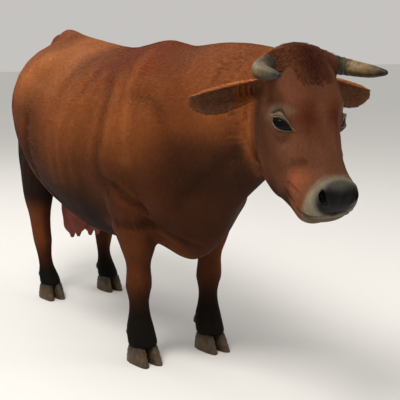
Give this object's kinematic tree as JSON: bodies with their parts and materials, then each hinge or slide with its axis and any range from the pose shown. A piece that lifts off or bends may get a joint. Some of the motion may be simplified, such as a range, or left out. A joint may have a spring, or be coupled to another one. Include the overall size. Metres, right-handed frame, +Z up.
{
  "type": "cow",
  "caption": "Standing red-brown cow with short forward-curved horns, cloven feet, udder and hanging tail, as a still life-size model.",
  "frame": {"origin": "on the floor under the middle of the box that holds the whole animal", "axes": "+Z up, the cow faces -Y, its left side is +X"},
  "size_m": [0.7468, 2.5192, 1.3669],
  "materials": {
    "coat": "short red-brown hair that lies flat, lighter on the back, darker below",
    "stocking": "black-brown hair of the lower legs and the tail switch",
    "udder": "bare pink-brown skin",
    "horn": "grey-olive horn, paler in the middle, dark at base and tip",
    "hoof": "grey-brown horn with fine growth rings",
    "eye": "wet near-black"
  },
  "bodies": {
    "root": {"claw_front_inner_left": "hoof", "claw_front_inner_right": "hoof", "claw_front_outer_left": "hoof", "claw_front_outer_right": "hoof", "claw_hind_inner_left": "hoof", "claw_hind_inner_right": "hoof", "claw_hind_outer_left": "hoof", "claw_hind_outer_right": "hoof", "dewclaw_front_inner_left": "hoof", "dewclaw_front_inner_right": "hoof", "dewclaw_front_outer_left": "hoof", "dewclaw_front_outer_right": "hoof", "dewclaw_hind_inner_left": "hoof", "dewclaw_hind_inner_right": "hoof", "dewclaw_hind_outer_left": "hoof", "dewclaw_hind_outer_right": "hoof", "ear_left": "coat", "ear_right": "coat", "eye_left": "eye", "eye_right": "eye", "head": "coat", "horn_left": "horn", "horn_right": "horn", "leg_front_lower_left": "stocking", "leg_front_lower_right": "stocking", "leg_front_upper_left": "coat", "leg_front_upper_right": "coat", "leg_hind_lower_left": "stocking", "leg_hind_lower_right": "stocking", "leg_hind_upper_left": "coat", "leg_hind_upper_right": "coat", "neck": "coat", "tail": "coat", "tail_switch": "stocking", "teat_fore_left": "udder", "teat_fore_right": "udder", "teat_hind_left": "udder", "teat_hind_right": "udder", "trunk": "coat", "udder": "udder"}
  },
  "joints": []
}
